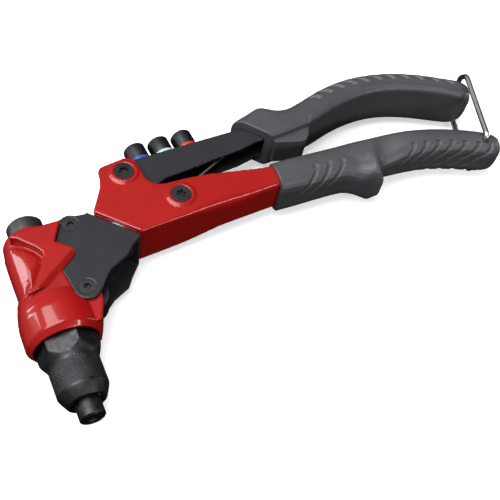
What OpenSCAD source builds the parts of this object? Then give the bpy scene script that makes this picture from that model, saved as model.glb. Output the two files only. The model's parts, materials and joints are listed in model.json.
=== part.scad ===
// Lever hand riveter with a swivelling head, shown closed.
// The barrel axis is +Y from the nosepiece mouth at the origin to the end cap.
// The handles run along +X, and Z is the side normal.

/* [Head] */
// Radius of the nosepiece
nose_r = 5.75; // [5:0.05:6.5]
// Radius of the hole for the rivet mandrel
mandrel_r = 1.55; // [1:0.05:1.8]
// Radius of the knurled part of the nose sleeve
sleeve_r = 11.5; // [11:0.1:12]
// Radius of the collar at the bottom of the casting
collar_r = 17.4; // [17:0.1:18.5]
// Distance from the nosepiece mouth to the top of the end cap
barrel_len = 103.9; // [103:0.1:106]

/* [Handles] */
// Outside width of the lower frame at its cheeks
frame_w = 24.5; // [24:0.1:26]
// Outside width of the lower frame where it enters its grip
tang_w = 21; // [20:0.1:22]
// Outside width of the upper lever channel
lever_w = 15; // [14:0.1:16]
// Thickness of the pressed steel
sheet_t = 2; // [1.8:0.1:2.2]
// Width of both rubber grips
grip_w = 25; // [24:0.1:27]

/* [Fasteners] */
// Radius of the two large bolt heads
bolt_head_r = 5; // [4.5:0.1:5.2]
// Radius of the two small screw heads
screw_head_r = 3.9; // [3.6:0.1:4.1]
// Running clearance of the pins and shafts, on the radius
run = 0.05; // [0.03:0.01:0.1]

/* [Bail] */
// Diameter of the bail wire
bail_d = 3; // [2.6:0.1:3.2]

/* [Hidden] */
$fn = 64;

// Colours
red = [0.78, 0.13, 0.11];
black = [0.13, 0.13, 0.14];
rubber = [0.24, 0.24, 0.25];
oxide = [0.2, 0.2, 0.21];
steel = [0.62, 0.63, 0.65];
dark_steel = [0.36, 0.36, 0.38];
blue = [0.1, 0.25, 0.7];
green = [0.55, 0.75, 0.68];
olive = [0.62, 0.6, 0.25];

// Swivel axis: a line at 45 degrees through swivel_at. s runs along it towards
// the handles from the front face of the frame, and t runs down to the right.
swivel_at = [40, 84];
diag = sqrt(0.5);
function st(s, t) = [swivel_at[0] + (s + t) * diag, swivel_at[1] + (s - t) * diag];

// Pivots, in the XY plane
cam_arm = 10.75;
pivot_s = 28.15;
lever_pivot = st(pivot_s, -cam_arm);
spring_pivot = st(pivot_s, 19.65);
rocker_arm = 19;
rocker_s = -11.4;
rocker_pivot = st(rocker_s, -rocker_arm);
lower_screw = [15.6, 54.9];
bail_pivot = [246.9, 74.6];

// The lever turns through lever_travel degrees, half of it each side of the
// place where its roller moves exactly along the swivel axis.
lever_travel = 36;
roller_r = 4;
roller_at = lever_pivot + cam_arm * rot_d(-lever_travel / 2);
stroke = 2 * cam_arm * sin(lever_travel / 2);
rocker_travel = 2 * asin(stroke / 2 / rocker_arm);
rocker_nose_r = 3;
rocker_nose = rocker_pivot + rocker_arm * rot_d(-rocker_travel / 2);
// Direction t turned by angle a about +Z
function rot_d(a) = [cos(a - 45), sin(a - 45)];

// Plunger ends, along s, with a small gap at each contact
contact_gap = 0.06;
plunger_r = 4;
plunger_back = pivot_s - cam_arm * sin(lever_travel / 2) - roller_r - contact_gap;
plunger_front = rocker_s - rocker_arm * sin(rocker_travel / 2) + rocker_nose_r + contact_gap;

// Frame
cheek_z = frame_w / 2;
tang_z = tang_w / 2;
inner_z = tang_z - 2;
block_len = 14;
block_z = cheek_z - sheet_t;
spindle_r = 7.5;
collar_gap = 2;
sleeve_pin_r = 4;
bolt_r = 2.5;
boss_h = 0.8;
bend_n = 4;

// Frame stations: x, y of the web, half width, bend radius
frame_web = [
    [26, 73.3, cheek_z, 1.2], [49, 75.4, cheek_z, 1.2], [70, 77.3, cheek_z, 1.8],
    [80, 78.2, cheek_z - 0.1, 3.2], [92, 79.3, cheek_z - 0.6, 5],
    [104, 80.3, tang_z + 0.5, 4.6], [114, 81.3, tang_z, 3.6], [124, 82.2, tang_z, 3.4],
    [127, 82.3, tang_z, 3.4], [132, 82.4, inner_z, 3], [150, 82.7, inner_z, 3], [175, 83, inner_z, 3],
    [192, 83.2, inner_z, 3], [207, 82.3, inner_z, 3], [222, 79.3, inner_z, 3], [236, 74.5, inner_z, 3],
    [252, 68, inner_z, 3]
];

// Lower grip stations: x, y of the centre, half height, half width, corner radius, lean
grip_z = grip_w / 2;
lower_stations = [
    [122.5, 88, 8.9, grip_z, 6, 2], [135, 88.2, 9.7, grip_z, 7, 1], [150, 88.3, 10, grip_z, 8, 0],
    [163, 88, 10.2, grip_z, 8, 0], [169.5, 86.1, 12.2, grip_z, 8, 0],
    [174.5, 84.4, 14, grip_z, 8, 0], [178, 84.2, 14.1, grip_z, 8, 0], [180.5, 85.6, 12.6, grip_z, 8, 0],
    [184, 88.3, 9.8, grip_z, 8, 0], [194, 88.7, 9.2, grip_z, 8, 0],
    [206, 88.4, 8.7, grip_z, 8, -6], [220, 86, 8, grip_z, 7.6, -14],
    [234, 81.6, 7.6, grip_z, 7.3, -20], [244, 77.5, 7.6, grip_z - 0.2, 7.3, -24],
    [251, 74.4, 7.6, grip_z - 1, 7.3, -24], [255.4, 72.6, 6.2, grip_z - 3, 6, -24],
    [257.5, 71.7, 3.2, grip_z - 6.5, 3, -24]
];

// Upper grip stations: the same, with separate top and bottom corner radii
upper_stations = [
    [115, 118.1, 8.1, grip_z - 0.6, 6.5, 2.5, 8], [122, 120.5, 10.1, grip_z, 8, 2.5, 6],
    [128, 121.8, 10.9, grip_z, 8, 2.5, 3], [134.5, 123.5, 11.9, grip_z, 8, 2.5, 0],
    [138, 123.4, 11.4, grip_z, 8, 2.5, 0], [142, 122.4, 9.9, grip_z, 7.5, 2.5, 2],
    [147, 121.8, 8.6, grip_z, 7.5, 2.5, 5], [154, 122.5, 8.2, grip_z, 7.5, 2.5, 10],
    [163, 125.2, 8.3, grip_z, 7.5, 2.5, 14], [176, 129.6, 8.4, grip_z, 7.5, 2.5, 13],
    [190, 132.5, 8.4, grip_z, 7.5, 2.5, 7], [205, 132.9, 8.1, grip_z, 7.5, 2.5, -3],
    [220, 130.4, 8, grip_z, 7.5, 2.5, -14], [235, 124.8, 7.8, grip_z, 7, 2.5, -23],
    [248, 118.3, 7.6, grip_z, 7, 2.5, -27], [256, 114.1, 7.6, grip_z - 0.8, 6.5, 3, -28],
    [260.2, 111.9, 6.4, grip_z - 3, 5, 3.5, -28], [262.2, 110.9, 3.6, grip_z - 6.5, 3, 3, -28]
];

// Lever stations: x, y of the back, half width, bend radius
lever_z = lever_w / 2;
lever_back = [
    [40, 121, lever_z, 2.5], [61, 122.2, lever_z, 2.5], [80, 123.3, lever_z, 2.5],
    [100, 124.5, lever_z, 2.5], [117, 125.4, lever_z, 2.5], [130, 125.9, lever_z, 2.5],
    [145, 127, lever_z, 2.5], [160, 129.4, lever_z, 2.5], [175, 133.8, lever_z, 2.5],
    [190, 137, lever_z, 2.5], [205, 137.4, lever_z, 2.5], [220, 135.1, lever_z, 2.5],
    [235, 129.7, lever_z, 2.5], [256, 119, lever_z, 2.5]
];
back_at = [61, 122.2];
back_slope = 3.4;
holder_from = 0.5;
holder_len = 41;
holder_drop = 8;
holder_gap = 0.3;
spare_first = 5;
spare_pitch = 13.2;

// Nosepieces: length of the head, of the colour ring and of the tail
nose_head = 9;
ring_t = 1.6;
ring_r = 6;
tail_r = 4;
tail_len = 10.6;
mandrel_holes = [0.9, 1.1, 1.35];

// Head
flank_z = 10.4;
plate_in = 10.5;
plate_out = 12.5;
far_drop = 3.4;
bore_r = 9.2;
slot_z = 8.7;
relief_z = 15;
crest_z = 12.8;
cap_r = 8.6;
cap_hole = 7.5;
casting_top = 95;
collar_y = 36;

// Pull tube groove and rocker fork
fork_r = 2.8;
fork_y = 91;
fork_in = 5.3;
fork_out = 8.3;
prong_half = 1.2;
groove_gap = 0.15;
flange_t = 2.4;
flange_r = 7.1;
neck_r = 5;

// Jaws and their case, along the barrel, with the handles closed
case_y = [26.8, 52];
case_r = 8;
jaw_y = [28, 41];
pusher_y = [41.2, 56];
tube_y = [46, 96.4];
passage_r = 2.2;

// Opening spring
open_wire_r = 0.75;
open_coil_r = 6.2;
open_turns = 3;
open_pitch = 1.6;
leg_angle = 26.6;
leg_len = 60;
fixed_leg_len = 29;

// Bail, as half of its wire: x, y, z
bail_r = bail_d / 2;
bail_side = grip_z + bail_r + 0.3;
bail_path = [
    [bail_pivot[0], bail_pivot[1], 7.5], [bail_pivot[0], bail_pivot[1], bail_side],
    [261.2, 118.1, bail_side], [265.6, 125.4, 5.5]
];

roller_pin_r = 2.2;
spring_z = -5;
leg_z = 1.6;
rocker_hub_r = 6.3;
rocker_arm_half = 2.4;
arm_z = 2.5;
counter_r = 4.6;
counter_end = 72;
jaw_front_r = 3.6;
jaw_back_r = 6.4;
cap_inside = barrel_len - 1.4;
bracket_t = 2;
spindle_flange = -collar_gap - bracket_t - 1.6;
screw_r = 2.2;
nut_r = 5.4;
spacer_r = 9.6;
spacer_z = 5.8;
spacer_cut = 14.5;
recess_r = 14.6;
seat_y = 41;
thread_r = 11.2;
slot_y = [80.5, 94.15];
slot_mouth = 11.5;
sleeve_y = 7.6;
hex_flat = 12.3;
hex_corner = 14.6;
hex_turn = -12;
head_t = 0.9;

// ---- helpers ----

// Points of an arc about c, from angle a to angle b
function arc(c, r, a, b, n = 12) =
    [for (i = [0:n]) c + r * [cos(a + (b - a) * i / n), sin(a + (b - a) * i / n)]];

// Catmull-Rom blend of four values at u from 0 to 1
function blend4(a, b, c, d, u) =
    0.5 * ((2 * b) + (c - a) * u + (2 * a - 5 * b + 4 * c - d) * u * u
    + (3 * b - a - 3 * c + d) * u * u * u);

// Smooth list through the stations, with n steps between each pair
function smooth(list, n) =
    let (last = len(list) - 1)
    [for (i = [0:last - 1]) for (k = [0:n - 1])
        blend4(list[max(i - 1, 0)], list[i], list[i + 1], list[min(i + 2, last)], k / n),
     list[last]];

// Closed ring of a rounded section about (x, y): half height h, half width hw,
// radii of the top and bottom corners, and its lean from upright
function section(x, y, h, hw, rt, rb, lean, n = bend_n) =
    let (corners = [[hw - rt, h - rt, rt, 0], [rt - hw, h - rt, rt, 90],
                    [rb - hw, rb - h, rb, 180], [hw - rb, rb - h, rb, 270]])
    [for (c = corners) for (i = [0:n])
        let (a = c[3] + 90 * i / n, z = c[0] + c[2] * cos(a), v = c[1] + c[2] * sin(a))
        [x - v * sin(lean), y + v * cos(lean), z]];

// Closed solid through rings with equal numbers of points
module loft(rings) {
    m = len(rings[0]);
    k = len(rings);
    points = [for (ring = rings) for (p = ring) p];
    sides = [for (j = [0:k - 2]) for (i = [0:m - 1])
        let (a = j * m + i, b = j * m + (i + 1) % m)
        each [[a, b, b + m], [a, b + m, a + m]]];
    start = [for (i = [m - 1:-1:0]) i];
    end = [for (i = [0:m - 1]) (k - 1) * m + i];
    polyhedron(points, concat([start], sides, [end]), convexity = 6);
}

// Solid of an XY outline between two heights
module slab(z0, z1) {
    translate([0, 0, z0]) linear_extrude(z1 - z0) children();
}

// The same solid on both sides of the middle plane
module both_sides() {
    children();
    mirror([0, 0, 1]) children();
}

// Cylinder along Z at an XY place
module post(at, r, z0, z1) {
    translate([at[0], at[1], z0]) cylinder(r = r, h = z1 - z0);
}

// Turned shape about the barrel axis, with the points [radius, y]
module turned(points) {
    rotate([-90, 0, 0]) rotate_extrude() polygon(points);
}

// Children drawn along +Z end up along the swivel axis, with z as s
module on_swivel() {
    translate([swivel_at[0], swivel_at[1], 0]) rotate([0, 0, -45]) rotate([-90, 0, 0]) children();
}

// Rod along the swivel axis
module swivel_rod(r, s0, s1) {
    on_swivel() translate([0, 0, s0]) cylinder(r = r, h = s1 - s0);
}

// Tube along the swivel axis
module swivel_tube(r, hole, s0, s1) {
    difference() {
        swivel_rod(r, s0, s1);
        swivel_rod(hole, s0 - 1, s1 + 1);
    }
}

// Rod along the barrel axis
module barrel_rod(r, y0, y1) {
    translate([0, y0, 0]) rotate([-90, 0, 0]) cylinder(r = r, h = y1 - y0);
}

// Tube along Z at an XY place
module tube(at, r, hole, z0, z1) {
    difference() {
        post(at, r, z0, z1);
        post(at, hole, z0 - 1, z1 + 1);
    }
}

// Straight bar between two XY places
module bar(a, b, half, z0, z1) {
    side = [a[1] - b[1], b[0] - a[0]] * half / norm(b - a);
    slab(z0, z1) polygon([a + side, a - side, b - side, b + side]);
}

// Round wire swept along a path that never runs along the direction called never
module sweep(path, r, sides = 8, never = [0, 0, 1]) {
    last = len(path) - 1;
    loft([for (i = [0:last])
        let (d = path[min(i + 1, last)] - path[max(i - 1, 0)],
             across = cross(d, never) / norm(cross(d, never)),
             up = cross(across, d) / norm(d))
        [for (k = [0:sides - 1]) path[i] + r * (cos(360 * k / sides) * across
            - sin(360 * k / sides) * up)]]);
}

// Points of a helix about Z, from angle a0 with the given number of turns
function helix(c, r, z, pitch, turns, a0, way = 1, steps = 20) =
    [for (i = [0:turns * steps])
        let (a = a0 + way * 360 * i / steps)
        [c[0] + r * cos(a), c[1] + r * sin(a), z + pitch * i / steps]];

// Six-lobed socket, cut down from height z
module star_socket(at, r, z, depth) {
    translate([at[0], at[1], z - depth]) {
        cylinder(r = r * 0.72, h = depth + 1);
        for (i = [0:5]) rotate(60 * i) translate([r * 0.74, 0, 0])
            cylinder(r = r * 0.26, h = depth + 1, $fn = 24);
    }
}

// The same path with each bend rounded over a distance r
function rounded(points, r, n = 4) =
    let (last = len(points) - 1)
    [points[0],
     for (i = [1:last - 1])
        let (p = points[i], a = points[i - 1] - p, b = points[i + 1] - p,
             pa = p + r * a / norm(a), pb = p + r * b / norm(b))
        for (k = [0:n]) let (u = k / n) (1 - u) * (1 - u) * pa + 2 * u * (1 - u) * p + u * u * pb,
     points[last]];

// ---- lower frame ----

// Side outline of the cheeks and of the tang inside the grip
module frame_outline() {
    polygon(concat(
        [st(0, -13), [34.4, 99.3], [38.4, 106.2], [40, 111.5]],
        arc([44.4, 113.8], 4.2, 175, 102, 5), arc([55.4, 115.2], 4.6, 98, 8, 6),
        arc([68.8, 107], 8, 190, 268, 6),
        [[80, 98.9], [90, 98.5], [104, 96.9], [124, 94.4], [150, 94], [175, 94.4],
         [190, 94.4], [204, 93.4], [218, 91], [232, 86.6], [250, 79], [252, 66],
         [252, 60], [46, 60], st(0, 14.6)]));
}

// Everything inside the outer faces of the frame's web and cheeks
module frame_envelope(inset = 0) {
    loft([for (s = smooth(frame_web, 3))
        let (h = (150 - s[1] - inset) / 2, r = max(s[3] - inset, 0.5))
        section(s[0], s[1] + inset + h, h, s[2] - inset, 0.4, r, 0)]);
}

module frame_body() {
    intersection() {
        slab(-20, 20) frame_outline();
        frame_envelope();
    }
}

module lower_frame() {
    color(red) difference() {
        union() {
            difference() {
                frame_body();
                frame_envelope(sheet_t);
            }
            for (at = [lever_pivot, spring_pivot]) both_sides() {
                post(at, 7.1, block_z + 0.2, cheek_z + boss_h * 0.6);
                post(at, 6.7, block_z + 0.2, cheek_z + boss_h);
            }
        }
        for (at = [lever_pivot, spring_pivot]) {
            post(at, sleeve_pin_r, -20, 20);
            both_sides() post(at, bolt_head_r + 0.15, cheek_z, 20);
        }
        post(bail_pivot, bail_r + run, -20, 20);
    }
}

module swivel_block() {
    color(red) difference() {
        slab(-block_z, block_z)
            polygon([st(0, -12.8), st(0, 9.2), [62, 79], [64.6, 79.2], st(block_len, -12.8)]);
        swivel_rod(spindle_r + run, -5, block_len + 5);
    }
}

module frame_bolts() {
    color(black) for (at = [lever_pivot, spring_pivot]) difference() {
        union() {
            post(at, bolt_head_r, cheek_z, cheek_z + head_t);
            post(at, bolt_r, -6, cheek_z + 0.2);
        }
        star_socket(at, 2.5, cheek_z + head_t, 1.6);
    }
}

module bolt_sleeves() {
    color(dark_steel) for (at = [lever_pivot, spring_pivot]) difference() {
        union() {
            post(at, sleeve_pin_r, -cheek_z, cheek_z - 0.35);
            post(at, bolt_head_r, -cheek_z - head_t, -cheek_z);
        }
        post(at, bolt_r, -9, 20);
    }
}

module pivot_washers() {
    color(steel) both_sides() tube(lever_pivot, 7, sleeve_pin_r, lever_z + 0.1, block_z);
}

module spring_spacer() {
    color(steel) tube(spring_pivot, 5.2, sleeve_pin_r, 0.15 - block_z, block_z - 0.15);
}

module opening_spring() {
    start = spring_pivot - [0, open_coil_r];
    path = concat([[start[0] + fixed_leg_len, start[1], spring_z]],
        [[start[0] + fixed_leg_len / 2, start[1], spring_z]],
        helix(spring_pivot, open_coil_r, spring_z, open_pitch, open_turns, -90, -1));
    color(steel) sweep(path, open_wire_r);
}

module opening_spring_leg() {
    from = leg_angle + 90;
    out = [cos(leg_angle), sin(leg_angle)];
    start = spring_pivot + open_coil_r * [cos(from), sin(from)];
    far = [for (u = [0.5, 1]) let (p = start + u * leg_len * out) [p[0], p[1], leg_z]];
    color(steel) sweep(concat(helix(spring_pivot, open_coil_r, leg_z, 0, 0.8, from + 288, -1), far),
        open_wire_r);
}

// ---- grips ----

module lower_grip() {
    color(rubber) difference() {
        loft([for (s = smooth(lower_stations, 2))
            section(s[0], s[1], s[2], s[3], s[4], s[4], s[5])]);
        frame_body();
        slab(-20, 20) polygon([[100, 60], [124, 60], [126, 110], [100, 110]]);
        both_sides() post(bail_pivot, bail_r + 0.3, 5, 20);
    }
}

module upper_grip() {
    color(rubber) difference() {
        union() {
            loft([for (s = smooth(upper_stations, 2))
                section(s[0], s[1], s[2], s[3], s[4], s[5], s[6])]);
            slab(-8, 8) polygon([[130, 118], [136.2, 109.8], [149.5, 106.6], [152.5, 107],
                [155.5, 110.5], [159, 117.5]]);
        }
        lever_body();
        slab(-20, 20) polygon([[100, 145], [103.9, 145], [118.1, 129], [135.8, 109], [135.8, 95], [100, 95]]);
    }
}

// ---- upper lever ----

// Side outline of the channel walls
module lever_outline() {
    polygon(concat(
        [[51, 150], [48.5, 121], [45.2, 116.5]],
        arc(lever_pivot, 8, 180, 262, 6),
        arc(roller_at, 6.3, 190, 350, 8),
        [[65.4, 102], [72, 105.4], [98, 109.4], [117, 111.8], [126, 114], [148, 117],
         [160, 120.2], [175, 124.8], [190, 128], [205, 128.5], [220, 126.2], [235, 120.8],
         [252, 112.3], [253, 150]]));
}

// Everything inside the outer faces of the channel
module lever_envelope(inset = 0) {
    loft([for (s = smooth(lever_back, 2))
        let (h = (s[1] - inset - 70) / 2, r = max(s[3] - inset, 0.5))
        section(s[0], 70 + h, h, s[2] - inset, r, 0.4, 0)]);
}

module lever_body() {
    intersection() {
        slab(-20, 20) lever_outline();
        lever_envelope();
    }
}

// Children drawn along +Z stand on the channel's back, d mm from its start
module on_back(d) {
    translate([back_at[0], back_at[1], 0]) rotate(back_slope) translate([d, 0, 0])
        rotate([-90, 0, 0]) children();
}

spares = [0, 1, 2];
function spare_at(i) = spare_first + i * spare_pitch;

module lever_channel() {
    color(black) difference() {
        lever_body();
        lever_envelope(sheet_t);
        slab(sheet_t - lever_z, lever_z - sheet_t) polygon([[30, 80], [61, 80], [61, 150], [30, 150]]);
        post(lever_pivot, sleeve_pin_r + run, -20, 20);
        post(roller_at, roller_pin_r, -20, 20);
        for (i = spares) on_back(spare_at(i)) translate([0, 0, -6]) cylinder(r = tail_r + run, h = 12);
    }
}

module roller_pin() {
    color(steel) post(roller_at, roller_pin_r, 0.1 - lever_z, lever_z - 0.1);
}

module cam_roller() {
    half = lever_z - sheet_t - 0.2;
    color(steel) tube(roller_at, roller_r, roller_pin_r + run, -half, half);
}

module nosepiece_holder() {
    half = lever_z - sheet_t - holder_gap;
    color(black) difference() {
        on_back(holder_from) translate([0, -half, -sheet_t - holder_gap - holder_drop])
            cube([holder_len, 2 * half, holder_drop]);
        for (i = spares) on_back(spare_at(i)) translate([0, 0, -20]) cylinder(r = tail_r, h = 30);
    }
}

// Nosepiece along +Z with its mouth at zero
module nosepiece_form(hole) {
    end = nose_head + tail_len;
    rotate_extrude() polygon([[hole, 0], [nose_r - 0.5, 0], [nose_r, 0.5],
        [nose_r, nose_head], [tail_r, nose_head], [tail_r, end - 1], [tail_r - 1, end],
        [hole, end]]);
}

// Colour ring behind the head of a nosepiece
module ring_form() {
    translate([0, 0, nose_head]) difference() {
        cylinder(r = ring_r, h = ring_t);
        translate([0, 0, -1]) cylinder(r = tail_r, h = ring_t + 2);
    }
}

// Children drawn like a nosepiece stand on the channel with the mouth up
module as_spare(i) {
    on_back(spare_at(i)) translate([0, 0, nose_head + ring_t]) rotate([180, 0, 0]) children();
}

module spare_nosepiece_blue() {
    color(oxide) as_spare(0) nosepiece_form(mandrel_holes[2]);
}

module spare_nosepiece_green() {
    color(oxide) as_spare(1) nosepiece_form(mandrel_holes[1]);
}

module spare_nosepiece_red() {
    color(oxide) as_spare(2) nosepiece_form(mandrel_holes[0]);
}

module spare_ring_blue() {
    color(blue) as_spare(0) ring_form();
}

module spare_ring_green() {
    color(green) as_spare(1) ring_form();
}

module spare_ring_red() {
    color(red) as_spare(2) ring_form();
}

// ---- linkage between the lever and the pull tube ----

module plunger() {
    dome = 1;
    color(steel) on_swivel() rotate_extrude() polygon([
        [0, plunger_front], [plunger_r - dome, plunger_front], [plunger_r, plunger_front + dome],
        [plunger_r, plunger_back - dome], [plunger_r - dome, plunger_back], [0, plunger_back]]);
}

module rocker() {
    fork_at = [0, fork_y];
    knee = rocker_pivot + 0.94 * (rocker_nose - rocker_pivot);
    root = 0.5 * (rocker_pivot + fork_at);
    color(dark_steel) difference() {
        union() {
            post(rocker_pivot, rocker_hub_r, -fork_out, fork_out);
            bar(rocker_pivot, knee, rocker_arm_half, -arm_z, arm_z);
            post(rocker_nose, rocker_nose_r, -arm_z, arm_z);
            both_sides() {
                bar(rocker_pivot, fork_at, prong_half, fork_in, fork_out);
                bar(rocker_pivot, root, fork_r, fork_in, fork_out);
                post(fork_at, fork_r, fork_in, fork_out);
            }
        }
        post(rocker_pivot, sleeve_pin_r + run, -20, 20);
    }
}

module pull_tube() {
    low = fork_y - fork_r - groove_gap;
    high = fork_y + fork_r + groove_gap;
    color(steel) turned([
        [counter_r, tube_y[0]], [case_r - 1.1, tube_y[0]], [case_r - 1.1, case_y[1]],
        [6.5, case_y[1]], [6.5, low - flange_t - 2], [flange_r, low - flange_t],
        [flange_r, low], [neck_r, low], [neck_r, high], [flange_r, high],
        [flange_r, tube_y[1]], [passage_r, tube_y[1]], [passage_r, counter_end],
        [counter_r, counter_end]]);
}

module jaw_case() {
    wall = case_r - 1.1;
    color(steel) turned([
        [jaw_front_r + 0.3, case_y[0]], [case_r - 1, case_y[0]], [case_r, case_y[0] + 1],
        [case_r, case_y[1]], [wall, case_y[1]], [wall, jaw_y[1]],
        [jaw_front_r + 0.3, jaw_y[0] - 0.2]]);
}

module jaws() {
    color(dark_steel) for (a = [0, 120, 240]) rotate([0, a, 0]) intersection() {
        turned([[1.2, jaw_y[0]], [jaw_front_r, jaw_y[0]], [jaw_back_r, jaw_y[1]], [1.2, jaw_y[1]]]);
        rotate([-90, 0, 0]) linear_extrude(60) polygon([
            [0.4, 0.25], 12 * [cos(2), sin(2)], 14 * [cos(60), sin(60)], 12 * [cos(118), sin(118)]]);
    }
}

module jaw_pusher() {
    color(steel) turned([
        [1.9, pusher_y[0] + 1], [3.4, pusher_y[0]], [counter_r - 0.1, pusher_y[0] + 1.2],
        [counter_r - 0.1, pusher_y[1]], [1.9, pusher_y[1]]]);
}

module jaw_spring() {
    wire_r = 0.5;
    room = counter_end - pusher_y[1] - 2 * wire_r;
    turns = 6;
    color(steel) rotate([-90, 0, 0])
        sweep(helix([0, 0], counter_r - wire_r - 0.2, pusher_y[1] + wire_r, room / turns, turns, 0, 1, 16),
            wire_r, 6);
}

module return_spring() {
    wire_r = 0.6;
    turns = 3;
    from = tube_y[1] + wire_r + 0.05;
    color(steel) rotate([-90, 0, 0])
        sweep(helix([0, 0], 5.5, from, (cap_inside - wire_r - from) / turns, turns, 0, 1, 18), wire_r, 6);
}

// ---- swivel ----

module swivel_spindle() {
    color(steel) difference() {
        union() {
            swivel_rod(10, spindle_flange, -collar_gap - bracket_t);
            swivel_rod(spindle_r, -collar_gap - bracket_t - 0.5, block_len + 3);
        }
        swivel_rod(plunger_r + run, -20, 30);
    }
}

module thrust_washer() {
    color(steel) swivel_tube(11, spindle_r + run, -collar_gap, -0.05);
}

module spindle_nut() {
    color(dark_steel) swivel_tube(9.9, spindle_r, block_len + 0.05, block_len + 3);
}

// ---- head ----

// Side plate of the bracket: drop lowers its hollow edge
module bracket_outline(drop = 0) {
    polygon(concat(
        [[12, 88], [7, 80], [7, 70], [7.7, 65.2], [8.7, 60.8]],
        arc(lower_screw, 6.3, 178, 300, 8),
        [[22.1, 52.6 - 0.6 * drop], [25.8, 57.8 - drop], [29.3, 60.8 - drop], [33.6, 63 - drop],
         [38, 65.2 - drop], [41.4, 69 - 0.7 * drop], [45.4, 72 - 0.2 * drop],
         st(-collar_gap, 12.5), st(-collar_gap, -15.5), [26.8, 92.9]],
        arc(rocker_pivot, 5.2, 50, 160, 8)));
}

// Raised cross on the side of the casting
module relief_outline() {
    polygon([[-8.4, 90.5], [14.4, 91.5], [8.7, 81], [15.6, 75], [15.3, 72.2], [-1, 60],
        [-9.8, 57.8], [-9.9, 58.8], [-5.5, 62.2], [0.1, 70.8], [1.9, 73.8], [2.1, 76.7],
        [-0.2, 80.5], [-3.5, 84], [-6.5, 87.2], [-9.6, 88.8]]);
}

module head_bracket() {
    back = -collar_gap - bracket_t;
    color(black) difference() {
        union() {
            slab(plate_in, plate_out) bracket_outline();
            slab(-plate_out, -plate_in) bracket_outline(far_drop);
            slab(-plate_out, plate_out) polygon([st(back, -15.5), st(-collar_gap, -15.5),
                st(-collar_gap, 12.5), st(back, 12.5)]);
        }
        swivel_rod(spindle_r, -20, 20);
        slab(-20, 20) relief_outline();
        for (at = [rocker_pivot, lower_screw]) {
            post(at, screw_r, 0, 20);
            post(at, sleeve_pin_r, -20, 0);
            translate([at[0], at[1], plate_out - screw_head_r + screw_r - 0.2])
                cylinder(r1 = screw_r - 0.2, r2 = screw_head_r + 0.5, h = screw_head_r - screw_r + 0.7);
        }
    }
}

module bracket_screws() {
    drop = screw_head_r - screw_r;
    color(black) for (at = [rocker_pivot, lower_screw]) difference() {
        union() {
            post(at, screw_r, -4, plate_out - drop + 0.1);
            translate([at[0], at[1], plate_out - drop]) cylinder(r1 = screw_r, r2 = screw_head_r, h = drop);
        }
        star_socket(at, 1.7, plate_out, 1.4);
    }
}

module bracket_sleeves() {
    color(dark_steel) for (at = [rocker_pivot, lower_screw]) difference() {
        union() {
            post(at, sleeve_pin_r, -plate_out, plate_in - 0.05);
            post(at, nut_r, -plate_out - 1.3, -plate_out);
        }
        post(at, screw_r, -8, 20);
    }
}

// Round plate in the slot at the bottom of the casting, flat on the barrel side
module lower_spacer() {
    color(dark_steel) difference() {
        post(lower_screw, spacer_r, -spacer_z, spacer_z);
        post(lower_screw, sleeve_pin_r, -20, 20);
        slab(-20, 20) polygon([[0, 40], [spacer_cut, 40], [spacer_cut, 70], [0, 70]]);
    }
}

// Outside of the casting before anything is cut from it
module casting_solid() {
    intersection() {
        turned([[0, collar_y], [collar_r - 2.1, collar_y], [collar_r, collar_y + 2.8], [collar_r, 49],
            [collar_r - 0.5, 52], [collar_r - 1.3, 55.5], [15.2, 60], [14.1, 77], [13.1, 90],
            [12.8, 92.5], [11.9, 94.3], [10.4, casting_top], [0, casting_top]]);
        union() {
            slab(-20, 20) polygon([[-20, 30], [20, 30], [20, 57], [-20, 57]]);
            slab(-crest_z, crest_z) polygon([[-20, 56], [20, 56], [20, 100], [-20, 100]]);
        }
    }
    slab(-flank_z, flank_z) polygon(concat(
        [[0, casting_top - 1.5], [9, casting_top - 1.5]], arc(rocker_pivot, 6.3, 95, -60, 8),
        [[17, 80], [17, 62], [0, 60]]));
    slab(-flank_z, flank_z) polygon(concat(
        [[0, 38.5], [16.6, 38.5], [18.7, 42.7], [20.4, 47.1], [21, 50.4]],
        arc(lower_screw, 5.6, 0, 90, 5), [[14, 64], [0, 64]]));
}

module head_casting() {
    color(red) difference() {
        union() {
            difference() {
                casting_solid();
                slab(plate_in, 20) bracket_outline();
                slab(-20, -plate_in) bracket_outline(far_drop);
            }
            both_sides() slab(flank_z - 3, relief_z) relief_outline();
        }
        turned([[0, 0], [recess_r, 0], [recess_r, seat_y], [thread_r, seat_y], [thread_r, 50],
            [bore_r, 50], [bore_r, slot_y[1]], [cap_r, slot_y[1]], [cap_r, 110], [0, 110]]);
        slab(-slot_z, slot_z) polygon([[0, slot_y[0]], [40, slot_y[0]], [40, 100],
            [slot_mouth, 100], [slot_mouth, slot_y[1]], [0, slot_y[1]]]);
        intersection() {
            post(lower_screw, spacer_r + 0.15, -spacer_z - 0.1, spacer_z + 0.1);
            slab(-20, 20) polygon([[spacer_cut - 0.1, 40], [40, 40], [40, 70], [spacer_cut - 0.1, 70]]);
        }
        for (at = [rocker_pivot, lower_screw]) {
            post(at, sleeve_pin_r + run, -20, 20);
            post(at, nut_r + 0.15, -20, -plate_out);
        }
    }
}

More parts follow.
